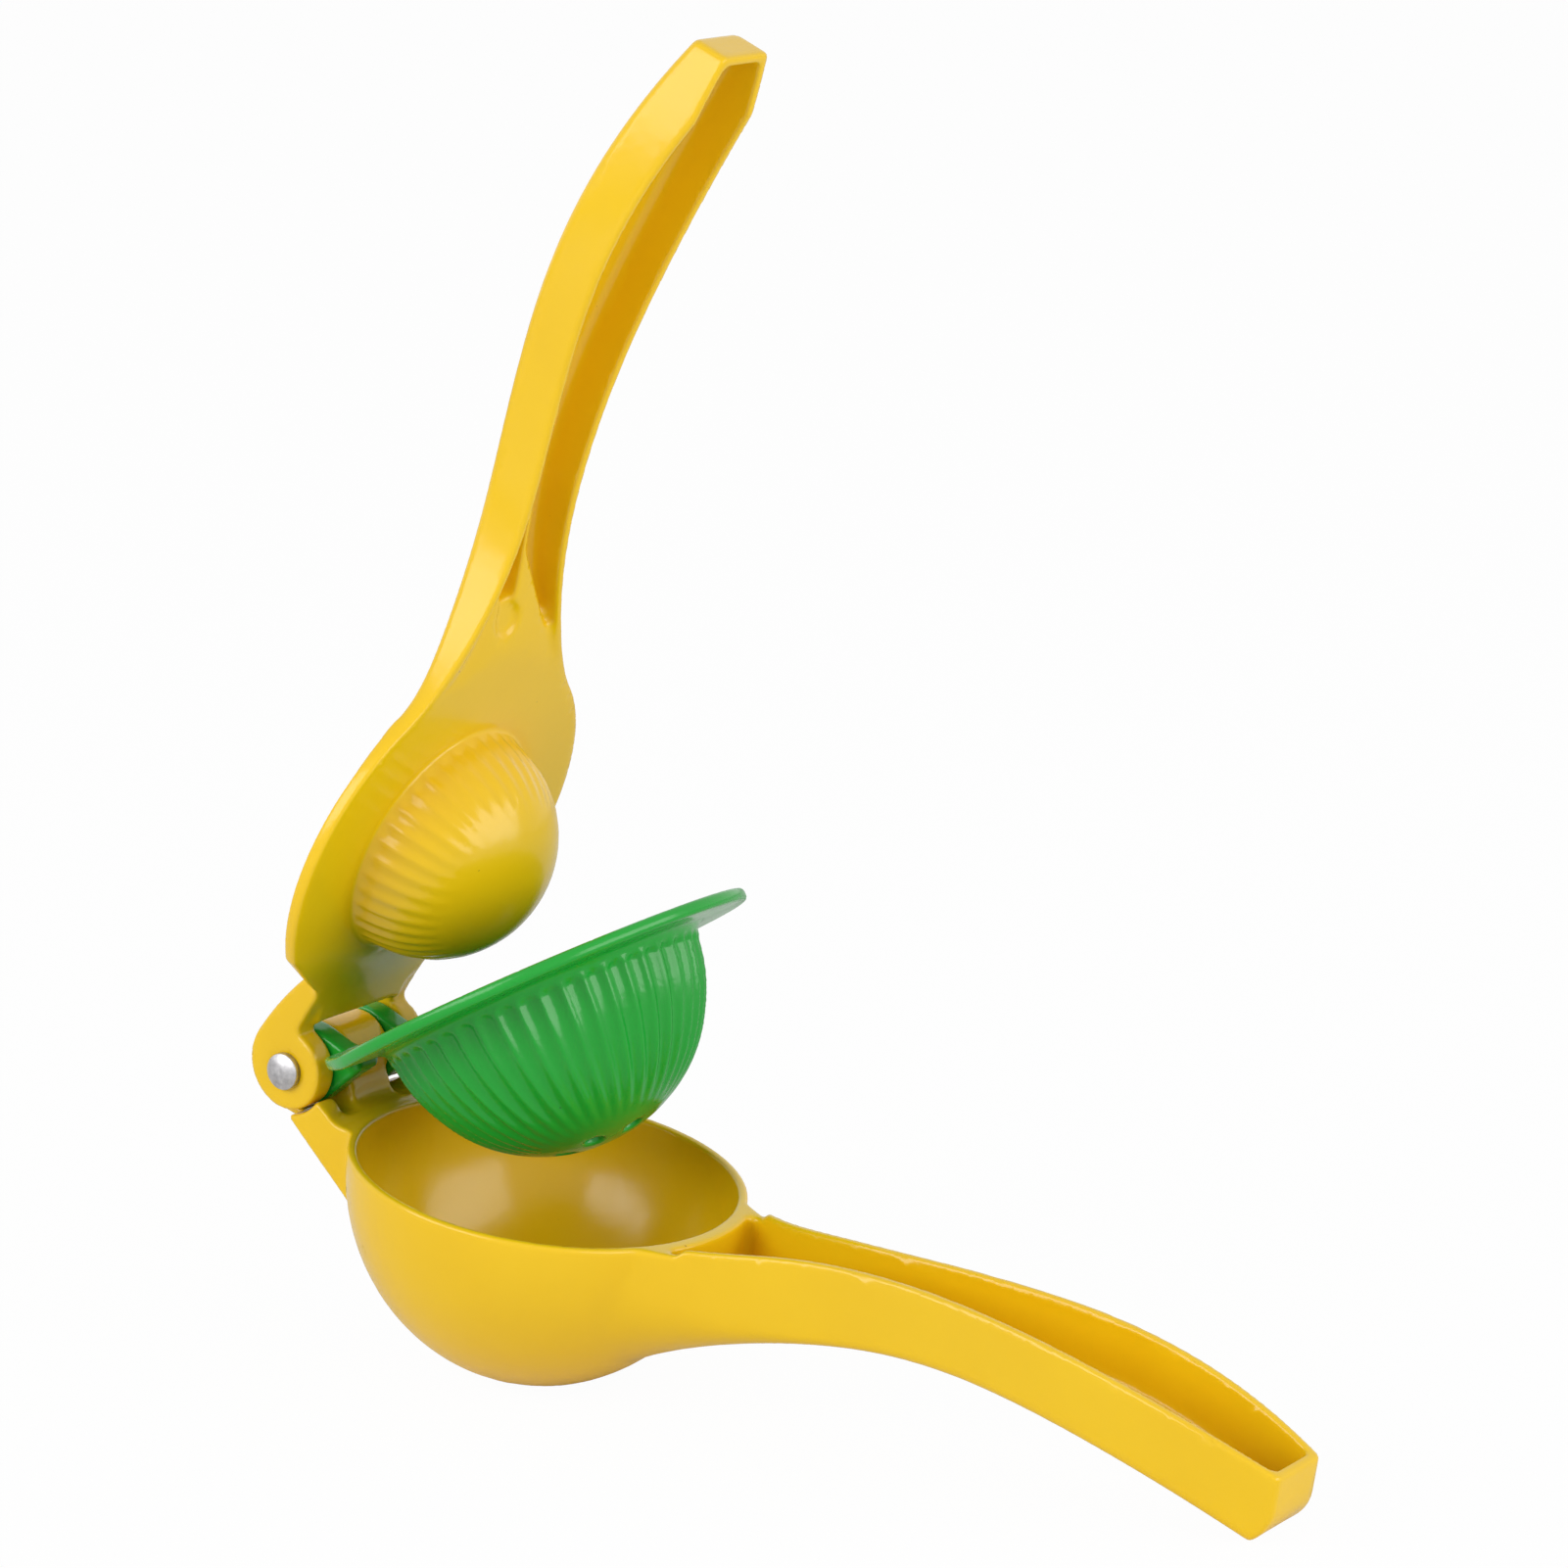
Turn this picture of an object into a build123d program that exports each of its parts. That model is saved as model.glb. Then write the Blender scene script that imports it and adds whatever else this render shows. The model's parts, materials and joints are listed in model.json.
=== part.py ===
from build123d import *
import os
from math import cos, pi, radians, sin, sqrt, tan

# Hinged citrus squeezer, in millimetres: three enamelled castings that turn on one steel rivet.
#
# Each casting is shaped closed and level: the origin is on the lemon bowl's axis in the plane of its rim,
# +X points along the handles to their tips, +Y runs across them and +Z is up. The cup and the press arm are
# then turned open about the rivet, and everything is tipped until the squeezer stands on its table, on the
# foot under the bowl and the tip of the lower handle. The origin ends at the middle of that foot.

# --- Driving dimensions ---------------------------------------------------------------------------------
WALL = 1.85                   # bowl and handle walls
EDGE_ROUND = 0.6              # soft edge left by the casting and its enamel

BOWL_RADIUS = 34.0            # lemon bowl, inside, at the rim
BOWL_DEPTH = 37.07            # inside, below the rim
DRAIN_COUNT = 6
DRAIN_DIAMETER = 3.4
BOWL_DRAIN_CIRCLE = 8.0       # radius of the ring of drain holes
BOWL_DRAIN_TURN = 30.0        # angle of the first drain hole, degrees

CUP_CLEARANCE = 4.4           # between the bowl's wall and the lime cup's ribs
CUP_CENTRE_HEIGHT = 1.0       # centre of the cup's sphere above the bowl's rim
CUP_WALL = 3.1
CUP_DRAIN_CIRCLE = 7.5
CUP_DRAIN_TURN = 54.0
FLANGE_OVERHANG = 4.0         # flange beyond the outside of the bowl
FLANGE_THICKNESS = 2.4
FLANGE_LIFT = 1.0             # flange's underside above the bowl's rim when parallel to it
STACK_GAP = 0.35              # between the press plate and the flange when closed

PLATE_INSET = 3.1             # press plate's rim inside the flange's rim
PLATE_THICKNESS = 2.6
PLATE_SHOULDER = 2.1          # depth of the flats on the plate's rim, just outside its hinge ears
PLATE_SHOULDER_TURN = 142.0   # where they are, in degrees from the handle
PLATE_SWELL_AT = 16.0         # the plate's back is flat up to here, then rises to the handle
PLATE_SWELL_RUN = 22.0        # over this length
PLATE_SWELL_RADIUS = 80.0
DOME_CLEARANCE = 4.4          # between the dome and the inside of the cup
DOME_CENTRE_HEIGHT = 1.0      # centre of the dome's sphere above the plate's face
DOME_WALL = 2.3

PIN_SETBACK = 12.2            # rivet's axis behind the outside of the bowl
PIN_HEIGHT = 6.5              # rivet's axis above the rim
PIN_DIAMETER = 5.0
PIN_CLEARANCE = 0.05          # radial, where a casting turns on the rivet
HEAD_DIAMETER = 6.7
HEAD_RIM = 1.15
HEAD_CROWN = 0.85
BARREL_RADIUS = 7.0
BARREL_WIDTH = 11.4           # middle hinge barrel, across
EAR_RADIUS = 7.35             # hinge ears of the cup and the press arm
EAR_THICKNESS = 4.85
EAR_ROOT = 3.2                # cup ears' root inside the flange's rim
EAR_BROW = (-3.9, 6.9)        # points on the press ears' back, from the rivet's axis
EAR_SHOULDER = (3.6, 8.5)
EAR_NAPE = (12.0, 6.1)
EAR_KNEE = (7.7, 0.9)         # corner on their underside
EAR_UNDERSIDE = 0.83          # where it meets the plate, as a fraction of the plate's radius
EAR_END = 0.65                # and where they end
EAR_GAP = 0.25                # side gap between neighbouring hinge parts
TURN_GAP = 0.85               # between a turning ear and the bracket around it
FLANGE_GAP = 0.65             # between the flange's rim and what stands around it
BRACKET_CREST = 3.9           # top of the bracket above the rim
BRACKET_CREST_GAP = 1.5       # from the flange's sweep to the top's front corner
BRACKET_TOE = 1.6             # back corner of the bracket below the rim
BRACKET_TOE_SETBACK = 1.2     # and in front of the rivet's axis
BRACKET_ROOT = 15.7           # bracket's underside inside the bowl's wall, below the rim
BRACKET_REACH = 0.78          # its root inside the bowl's wall, as a fraction of the bowl's radius
BRACKET_WEB = 2.4

HANDLE_REACH = 118.0          # lower handle's tip beyond the outside of the bowl
UPPER_OVERHANG = 2.5          # upper handle's tip beyond the lower one
WAIST_HALF_WIDTH = 7.5
BELLY_HALF_WIDTH = 11.35
TIP_HALF_WIDTH = 6.6
GRIP_CORNER = 1.8             # rounding of the long back corners
TIP_CORNER = 1.0
HEEL_CORNER = 8.0             # rounding of the lower handle's end underneath
NECK_ROUND = 0.96             # rounding of its back at the bowl, as a fraction of its half width
WAIST_AT = 0.29               # places along the reach, as fractions of it
CROWN_AT = 0.55
BELLY_AT = 0.73
UPPER_EDGE_CROWN = 9.3        # heights above the rim when closed
UPPER_EDGE_TIP = 0.2
UPPER_BACK_CROWN = 19.6
UPPER_BACK_TIP = 11.1
LOWER_EDGE_CROWN = 8.7
LOWER_EDGE_NECK = 1.25
LOWER_EDGE_TIP = -0.1
LOWER_BACK_CROWN = -4.2
POCKET_SETBACK = 1.2          # from the bowl's outside to the upright end of the lower handle's channel
TONGUE_SLOPE = 12.4           # degrees, the plate's face running on into the upper handle's channel
TONGUE_REACH = 20.7           # from the plate's rim to the tongue's point
TONGUE_WAIST = (4.4, 10.6)    # a point on its far edge, from the plate's rim and the middle
TONGUE_GAP = 0.4              # between its far edge and the channel's wall, at the plate's rim
RIB_REACH = 30.4              # the rib on its near edge, from the plate's rim to its end
RIB_SETBACK = 1.3             # from the middle to the rib's near side
RIB_WIDTH = 1.1
SLOT_REACH = 8.4              # the slot beside the rib, from the plate's rim to its round end's middle
SLOT_RADIUS = 3.4
SLOT_SHIFT = 0.9              # from the rib's near side to the round end's middle
SLOT_WIDTH = 4.2
SHELF_REACH = 13.4            # from the plate's rim to the end of the tongue's part beyond the slot
UPPER_POCKET_AT = 0.9         # start of the upper handle's channel, as a fraction of the plate's radius
SECTION_COUNT = 13            # cross-sections along a handle

CUP_OPENING = 38.3            # degrees from closed, as the squeezer stands
PRESS_OPENING = 74.85
REST_PITCH = 9.6              # how far the handles tip down as it stands
FOOT_FLAT = 0.55              # depth ground off the bowl for its foot

# --- Places worked out from them ------------------------------------------------------------------------
BOWL_OUTER = BOWL_RADIUS + WALL
BOWL_OUTER_DEPTH = BOWL_DEPTH + WALL
CUP_OUTER = BOWL_RADIUS - CUP_CLEARANCE
CUP_INNER = CUP_OUTER - CUP_WALL
FLANGE_RADIUS = BOWL_OUTER + FLANGE_OVERHANG
FLANGE_TOP = FLANGE_LIFT + FLANGE_THICKNESS
FLANGE_SWEEP = FLANGE_RADIUS + FLANGE_GAP
PLATE_RADIUS = FLANGE_RADIUS - PLATE_INSET
PLATE_FACE = FLANGE_TOP + STACK_GAP
PLATE_BACK = PLATE_FACE + PLATE_THICKNESS
DOME_RADIUS = CUP_INNER - DOME_CLEARANCE
DOME_CENTRE = PLATE_FACE + DOME_CENTRE_HEIGHT
PIN_X = -(BOWL_OUTER + PIN_SETBACK)
PIN_RADIUS = PIN_DIAMETER / 2
BARREL_HALF = BARREL_WIDTH / 2
CUP_EAR_IN = BARREL_HALF + EAR_GAP
CUP_EAR_OUT = CUP_EAR_IN + EAR_THICKNESS
PRESS_EAR_IN = CUP_EAR_OUT + EAR_GAP
PRESS_EAR_OUT = PRESS_EAR_IN + EAR_THICKNESS
LOWER_TIP = BOWL_OUTER + HANDLE_REACH
UPPER_TIP = LOWER_TIP + UPPER_OVERHANG
WAIST_X = BOWL_OUTER + WAIST_AT * HANDLE_REACH
CROWN_X = BOWL_OUTER + CROWN_AT * HANDLE_REACH
BELLY_X = BOWL_OUTER + BELLY_AT * HANDLE_REACH
# Both handles start on or inside the round that they grow from.
LOWER_NECK = (0.68 * BOWL_OUTER, 0.60 * BOWL_OUTER)
LOWER_NECK_BACK = -0.72 * BOWL_OUTER_DEPTH
UPPER_NECK = (0.76 * PLATE_RADIUS, 0.65 * PLATE_RADIUS)
# The plate's back swells up to the handle's back and meets it here.
SWELL_END = PLATE_SWELL_AT + PLATE_SWELL_RUN
SWELL_TOP = PLATE_BACK + PLATE_SWELL_RADIUS - sqrt(PLATE_SWELL_RADIUS ** 2 - PLATE_SWELL_RUN ** 2)
UPPER_POCKET_X = UPPER_POCKET_AT * PLATE_RADIUS

PITCH = radians(REST_PITCH)
TABLE_DEPTH = sqrt((BOWL_OUTER * sin(PITCH)) ** 2 + (BOWL_OUTER_DEPTH * cos(PITCH)) ** 2) - FOOT_FLAT
FOOT_X = sin(PITCH) * cos(PITCH) * (BOWL_OUTER ** 2 - BOWL_OUTER_DEPTH ** 2) / (TABLE_DEPTH + FOOT_FLAT)
# The lower handle's rounded heel touches the table that the foot stands on.
HEEL_CENTRE = (sin(PITCH) * (LOWER_TIP - HEEL_CORNER) - TABLE_DEPTH + HEEL_CORNER) / cos(PITCH)
LOWER_BACK_TIP = HEEL_CENTRE - HEEL_CORNER


# --- Shared shapes --------------------------------------------------------------------------------------
def arc(x, level, end):
    """Height at x of the circular arc that is level at one point and passes through another."""
    run = end[0] - level[0]
    rise = end[1] - level[1]
    radius = (run ** 2 + rise ** 2) / (2 * abs(rise))
    change = radius - sqrt(radius ** 2 - (x - level[0]) ** 2)
    return level[1] + (change if rise > 0 else -change)


def ease(x, start, end):
    """Height at x of the smooth curve that is level at both its ends."""
    share = (1 - cos(pi * (x - start[0]) / (end[0] - start[0]))) / 2
    return start[1] + share * (end[1] - start[1])


def half_width(x, neck):
    """Half of a handle's width at x: a flared neck, a waist, a belly and a narrower tip."""
    waist = (WAIST_X, WAIST_HALF_WIDTH)
    belly = (BELLY_X, BELLY_HALF_WIDTH)
    if x < WAIST_X:
        return arc(x, waist, neck)
    if x < BELLY_X:
        return ease(x, waist, belly)
    return arc(x, belly, (UPPER_TIP, TIP_HALF_WIDTH))


def handle_section(x, half, open_z, back_z, corner_width, corner_height):
    """Cross-section of a handle at x: square at its open side, with two rounded back corners."""
    up = 1 if back_z > open_z else -1
    flat = half - corner_width
    low = up * open_z
    high = up * back_z
    shoulder = high - corner_height
    outline = [
        Line((-half, low), (half, low)),
        Line((half, low), (half, shoulder)),
        EllipticalCenterArc((flat, shoulder), corner_width, corner_height, 0, arc_size=90),
        Line((flat, high), (-flat, high)),
        EllipticalCenterArc((-flat, shoulder), corner_width, corner_height, 90, arc_size=90),
        Line((-half, shoulder), (-half, low)),
    ]
    return Plane(origin=(x, 0, 0), x_dir=(0, 1, 0), z_dir=(up, 0, 0)) * make_face(outline)


def stations(start, end):
    """Evenly spaced places along a handle."""
    return [start + (end - start) * step / (SECTION_COUNT - 1) for step in range(SECTION_COUNT)]


def rounded_tip(handle, open_z):
    """The handle with the edges of its end face rounded, but for the one at its open side."""
    end = handle.faces().sort_by(Axis.X)[-1]
    edges = [edge for edge in end.edges() if abs(edge.center().Z - open_z) > EDGE_ROUND]
    return fillet(edges, TIP_CORNER)


def heel_waste():
    """What is taken off under the lower handle's end to round its heel, seen from the side."""
    corner = Rectangle(HANDLE_REACH, HANDLE_REACH, align=(Align.MIN, Align.MAX))
    return Pos(LOWER_TIP - HEEL_CORNER, HEEL_CENTRE) * (corner - Circle(HEEL_CORNER))


def across(outline, half):
    """The outline, drawn in X and Z, as a slab across the squeezer."""
    return extrude(Plane.XZ * outline, half, both=True)


def both_sides(outline, inner, outer):
    """The outline as two slabs, one on each side of the middle."""
    return across(outline, outer) - across(outline, inner)


def polygon(*points):
    return make_face(Polyline(*points, close=True))


def pin_disc(radius):
    """A disc round the rivet's axis, seen from the side."""
    return Pos(PIN_X, PIN_HEIGHT) * Circle(radius)


def disc(radius, bottom, thickness):
    """A round plate with softened edges."""
    plate = Cylinder(radius, thickness, align=(Align.CENTER, Align.CENTER, Align.MIN))
    return Pos(0, 0, bottom) * fillet(plate.edges(), EDGE_ROUND)


def ball(radius, centre_height):
    return Pos(0, 0, centre_height) * Sphere(radius)


def round_bore(radius, bottom, top):
    return Pos(0, 0, bottom) * Cylinder(radius, top - bottom, align=(Align.CENTER, Align.CENTER, Align.MIN))


def half_ellipsoid(radius, depth):
    """The solid below the rim plane of a bowl, its profile a quarter of an ellipse."""
    pull = 4 * (sqrt(2) - 1) / 3
    quarter = [
        Bezier((radius, 0), (radius, -pull * depth), (pull * radius, -depth), (0, -depth)),
        Line((0, -depth), (0, 0)),
        Line((0, 0), (radius, 0)),
    ]
    return revolve(Plane.XZ * make_face(quarter), Axis.Z)


def drain_holes(circle, first_angle):
    """A ring of round holes along Z."""
    return [place * Cylinder(DRAIN_DIAMETER / 2, 3 * BOWL_DEPTH)
            for place in PolarLocations(circle, DRAIN_COUNT, first_angle)]


# --- Lower arm: lemon bowl, lower handle and hinge bracket ----------------------------------------------
def lower_handle(end, inset, opening):
    """The lower handle as a solid, or the room inside it: inset by the wall and carried past the opening."""
    crown = (CROWN_X, LOWER_EDGE_CROWN)
    sections = []
    for x in stations(LOWER_NECK[0], end):
        half = half_width(x, LOWER_NECK) - inset
        open_z = LOWER_EDGE_NECK
        if x > CROWN_X:
            open_z = arc(x, crown, (LOWER_TIP, LOWER_EDGE_TIP))
        elif x > FLANGE_SWEEP:
            open_z = arc(x, crown, (FLANGE_SWEEP, LOWER_EDGE_NECK))
        back_end = (LOWER_NECK[0], LOWER_NECK_BACK) if x < CROWN_X else (LOWER_TIP, LOWER_BACK_TIP)
        back_z = arc(x, (CROWN_X, LOWER_BACK_CROWN), back_end) + inset
        # The underside is as round as the bowl where they meet, and squarer towards the waist.
        neck_share = min(1, (x - LOWER_NECK[0]) / (WAIST_X - LOWER_NECK[0]))
        corner = GRIP_CORNER + (NECK_ROUND * half - GRIP_CORNER) * ease(neck_share, (0, 1), (1, 0))
        sections.append(handle_section(x, half, open_z + opening, back_z, corner, corner))
    return loft(sections)


def bracket():
    """The hinge bracket behind the bowl, hollow underneath, with the middle hinge barrel."""
    toe = (PIN_X + BRACKET_TOE_SETBACK, -BRACKET_TOE)
    root_x = -BRACKET_REACH * BOWL_OUTER
    root = (root_x, -BRACKET_ROOT)
    crest = (-FLANGE_SWEEP - BRACKET_CREST_GAP, BRACKET_CREST)
    side = polygon(toe, root, (root_x, 0), (-BOWL_OUTER, 0), crest, (PIN_X, BRACKET_CREST))
    hollow = polygon((PIN_X, -BRACKET_WEB), (root_x, -BRACKET_WEB),
                     (root_x, -BOWL_DEPTH), (PIN_X, -BOWL_DEPTH))
    hollow -= pin_disc(EAR_RADIUS + TURN_GAP + BRACKET_WEB)
    block = across(side, PRESS_EAR_OUT)
    block -= both_sides(hollow, BARREL_HALF, PRESS_EAR_OUT - BRACKET_WEB)
    block -= both_sides(pin_disc(EAR_RADIUS + TURN_GAP), BARREL_HALF, PRESS_EAR_OUT + EAR_GAP)
    block -= both_sides(cup_ear_outline(TURN_GAP), BARREL_HALF, PRESS_EAR_IN)
    barrel = pin_disc(BARREL_RADIUS) + polygon((PIN_X, PIN_HEIGHT), toe, root, (root_x, 0), (-BOWL_OUTER, 0))
    return block + across(barrel, BARREL_HALF)


def lower_arm():
    arm = rounded_tip(lower_handle(LOWER_TIP, 0, 0), LOWER_EDGE_TIP)
    arm -= across(heel_waste(), BELLY_HALF_WIDTH)
    pocket = lower_handle(LOWER_TIP - WALL, WALL, BOWL_RADIUS)
    arm -= pocket - round_bore(BOWL_OUTER + POCKET_SETBACK, -2 * BOWL_DEPTH, 2 * BOWL_RADIUS)
    arm += half_ellipsoid(BOWL_OUTER, BOWL_OUTER_DEPTH)
    # The cup's flange lies in a round step cut into the handle's neck.
    arm -= round_bore(FLANGE_SWEEP, 0, BOWL_RADIUS)
    arm += bracket() - round_bore(FLANGE_SWEEP, FLANGE_LIFT - FLANGE_GAP, BOWL_RADIUS)
    arm -= half_ellipsoid(BOWL_RADIUS, BOWL_DEPTH)
    arm -= drain_holes(BOWL_DRAIN_CIRCLE, BOWL_DRAIN_TURN)
    arm -= across(pin_disc(PIN_RADIUS + PIN_CLEARANCE), BARREL_WIDTH)
    table = Pos(FOOT_X, 0, -TABLE_DEPTH) * Box(BOWL_RADIUS, BOWL_RADIUS, BOWL_RADIUS,
                                               align=(Align.CENTER, Align.CENTER, Align.MAX))
    return arm - Rotation(0, -REST_PITCH, 0) * table


# --- Lime cup -------------------------------------------------------------------------------------------
def cup_ear_outline(gap):
    """Side view of a cup ear: the eye round the rivet, drawn out to the flange and grown by a gap."""
    root_x = EAR_ROOT - FLANGE_RADIUS
    eye = pin_disc(EAR_RADIUS + gap)
    root = Line((root_x, FLANGE_TOP + gap), (root_x, FLANGE_LIFT - gap))
    return make_hull(eye.edges() + root.edges())


def lime_cup():
    cup = disc(FLANGE_RADIUS, FLANGE_LIFT, FLANGE_THICKNESS)
    shell = ball(CUP_OUTER, CUP_CENTRE_HEIGHT) & round_bore(CUP_OUTER, -BOWL_DEPTH, FLANGE_TOP - EDGE_ROUND)
    cup += shell
    cup += both_sides(cup_ear_outline(0), CUP_EAR_IN, CUP_EAR_OUT)
    cup -= ball(CUP_INNER, CUP_CENTRE_HEIGHT)
    cup -= round_bore(CUP_INNER, CUP_CENTRE_HEIGHT, BOWL_RADIUS)
    cup -= drain_holes(CUP_DRAIN_CIRCLE, CUP_DRAIN_TURN)
    return cup - across(pin_disc(PIN_RADIUS + PIN_CLEARANCE), PRESS_EAR_IN)


# --- Press arm: plate, dome, upper handle and outer hinge ears ------------------------------------------
def upper_back(x):
    """Height at x of the press arm's back, from the plate to the handle's tip."""
    if x < SWELL_END:
        return arc(x, (PLATE_SWELL_AT, PLATE_BACK), (SWELL_END, SWELL_TOP))
    if x < CROWN_X:
        return arc(x, (CROWN_X, UPPER_BACK_CROWN), (SWELL_END, SWELL_TOP))
    return arc(x, (CROWN_X, UPPER_BACK_CROWN), (UPPER_TIP, UPPER_BACK_TIP))


def plate():
    """The press plate up to the handle's neck: a disc with a flat at each hinge ear."""
    neck = UPPER_NECK[0]
    middle = (PLATE_SWELL_AT + neck) / 2
    side = make_face([
        Line((-PLATE_RADIUS, PLATE_FACE), (neck, PLATE_FACE)),
        Line((neck, PLATE_FACE), (neck, upper_back(neck))),
        ThreePointArc((neck, upper_back(neck)), (middle, upper_back(middle)), (PLATE_SWELL_AT, PLATE_BACK)),
        Line((PLATE_SWELL_AT, PLATE_BACK), (-PLATE_RADIUS, PLATE_BACK)),
        Line((-PLATE_RADIUS, PLATE_BACK), (-PLATE_RADIUS, PLATE_FACE)),
    ])
    plan = Circle(PLATE_RADIUS)
    for turn in (-PLATE_SHOULDER_TURN, PLATE_SHOULDER_TURN):
        waste = Rectangle(PLATE_RADIUS, 2 * PLATE_RADIUS, align=(Align.MIN, Align.CENTER))
        plan -= Rotation(0, 0, turn) * Pos(PLATE_RADIUS - PLATE_SHOULDER, 0) * waste
    return across(side, PLATE_RADIUS) & extrude(plan, 2 * PLATE_BACK)


def upper_handle(start, end, inset, opening):
    """The upper handle as a solid, or the room inside it: inset by the wall and carried past the opening."""
    sections = []
    for x in stations(start, end):
        half = half_width(x, UPPER_NECK) - inset
        if x < CROWN_X:
            open_z = ease(x, (UPPER_NECK[0], PLATE_FACE), (CROWN_X, UPPER_EDGE_CROWN))
        else:
            open_z = arc(x, (CROWN_X, UPPER_EDGE_CROWN), (UPPER_TIP, UPPER_EDGE_TIP))
        back_z = upper_back(x) - inset
        corner = min(GRIP_CORNER, 0.4 * (back_z - open_z))
        sections.append(handle_section(x, half, open_z - opening, back_z, corner, corner))
    return loft(sections)


def tongue():
    """The plate's face running on into the channel: a sloping tongue, its rib and the slot beside that."""
    reach = 2 * PLATE_RADIUS
    start_x = UPPER_NECK[0]
    slot_x = PLATE_RADIUS + SLOT_REACH
    shelf_x = PLATE_RADIUS + SHELF_REACH
    rib_x = PLATE_RADIUS + RIB_REACH
    rib_y = RIB_WIDTH - RIB_SETBACK
    waist = (PLATE_RADIUS + TONGUE_WAIST[0], TONGUE_WAIST[1])
    far_y = half_width(UPPER_POCKET_X, UPPER_NECK) - WALL - TONGUE_GAP
    plan = polygon((start_x, -reach), (shelf_x, -reach), (shelf_x, -RIB_SETBACK), (rib_x, -RIB_SETBACK),
                   (rib_x, rib_y), (PLATE_RADIUS + TONGUE_REACH, rib_y), waist, (UPPER_POCKET_X, far_y),
                   (start_x, reach))
    plan -= Pos(slot_x, -RIB_SETBACK - SLOT_SHIFT) * Circle(SLOT_RADIUS)
    plan -= Pos(slot_x, -RIB_SETBACK) * Rectangle(SHELF_REACH, SLOT_WIDTH, align=(Align.MIN, Align.MAX))
    body = extrude(plan, BOWL_RADIUS)
    face_end = (PLATE_RADIUS + reach, PLATE_FACE + reach * tan(radians(TONGUE_SLOPE)))
    air = polygon((0, -1), (0, PLATE_FACE), (PLATE_RADIUS, PLATE_FACE), face_end, (face_end[0], -1))
    return body - revolve(Plane.XZ * air, Axis.Z)


def from_pin(offset):
    """A point given from the rivet's axis, in side view."""
    return (PIN_X + offset[0], PIN_HEIGHT + offset[1])


def press_ear_outline():
    """Side view of a press ear: the eye round the rivet and the stout arm that rises over to the plate."""
    back = (PIN_X - EAR_RADIUS, PIN_HEIGHT)
    shoulder = from_pin(EAR_SHOULDER)
    end_x = -EAR_END * PLATE_RADIUS
    under_x = -EAR_UNDERSIDE * PLATE_RADIUS
    under_z = PLATE_BACK - EDGE_ROUND
    arm = make_face([
        ThreePointArc(back, from_pin(EAR_BROW), shoulder),
        ThreePointArc(shoulder, from_pin(EAR_NAPE), (end_x, PLATE_BACK)),
        Line((end_x, PLATE_BACK), (end_x, under_z)),
        Line((end_x, under_z), (under_x, under_z)),
        Line((under_x, under_z), from_pin(EAR_KNEE)),
        Line(from_pin(EAR_KNEE), (PIN_X, PIN_HEIGHT)),
        Line((PIN_X, PIN_HEIGHT), back),
    ])
    return arm + pin_disc(EAR_RADIUS)


def press_arm():
    arm = plate()
    arm += rounded_tip(upper_handle(UPPER_NECK[0], UPPER_TIP, 0, 0), UPPER_EDGE_TIP)
    arm += both_sides(press_ear_outline(), PRESS_EAR_IN, PRESS_EAR_OUT)
    arm -= upper_handle(UPPER_POCKET_X, UPPER_TIP - WALL, WALL, BOWL_RADIUS) - tongue()
    arm += ball(DOME_RADIUS, DOME_CENTRE) & round_bore(DOME_RADIUS, -BOWL_DEPTH, PLATE_BACK - EDGE_ROUND)
    arm -= ball(DOME_RADIUS - DOME_WALL, DOME_CENTRE)
    arm -= round_bore(DOME_RADIUS - DOME_WALL, DOME_CENTRE, BOWL_RADIUS)
    return arm - across(pin_disc(PIN_RADIUS), 2 * PRESS_EAR_OUT)


# --- Hinge rivet ----------------------------------------------------------------------------------------
def hinge_rivet():
    """A round shank with a low domed head at each end."""
    head = HEAD_DIAMETER / 2
    rim = PRESS_EAR_OUT + HEAD_RIM
    crown_radius = (head ** 2 + HEAD_CROWN ** 2) / (2 * HEAD_CROWN)
    half = make_face([
        Line((0, 0), (PIN_RADIUS, 0)),
        Line((PIN_RADIUS, 0), (PIN_RADIUS, PRESS_EAR_OUT)),
        Line((PIN_RADIUS, PRESS_EAR_OUT), (head, PRESS_EAR_OUT)),
        Line((head, PRESS_EAR_OUT), (head, rim)),
        RadiusArc((head, rim), (0, rim + HEAD_CROWN), -crown_radius),
        Line((0, rim + HEAD_CROWN), (0, 0)),
    ])
    end = revolve(half, Axis.Y)
    return Pos(PIN_X, 0, PIN_HEIGHT) * (end + mirror(end, Plane.XZ))


# --- Assembly -------------------------------------------------------------------------------------------
def opened(shape, angle):
    """Turned open about the rivet, from closed."""
    return Pos(PIN_X, 0, PIN_HEIGHT) * Rotation(0, -angle, 0) * Pos(-PIN_X, 0, -PIN_HEIGHT) * shape


def standing(shape):
    """Tipped and lifted until the foot and the handle's tip stand on the table."""
    return Pos(-FOOT_X, 0, TABLE_DEPTH) * Rotation(0, REST_PITCH, 0) * shape


parts = {
    "lower_arm": lower_arm(),
    "lime_cup": opened(lime_cup(), CUP_OPENING),
    "press_arm": opened(press_arm(), PRESS_OPENING),
    "hinge_rivet": hinge_rivet(),
}

os.makedirs("parts", exist_ok=True)
for name, shape in parts.items():
    export_step(standing(shape), f"parts/{name}.step")
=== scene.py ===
import json
from math import cos, pi, radians, sin, tan

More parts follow.
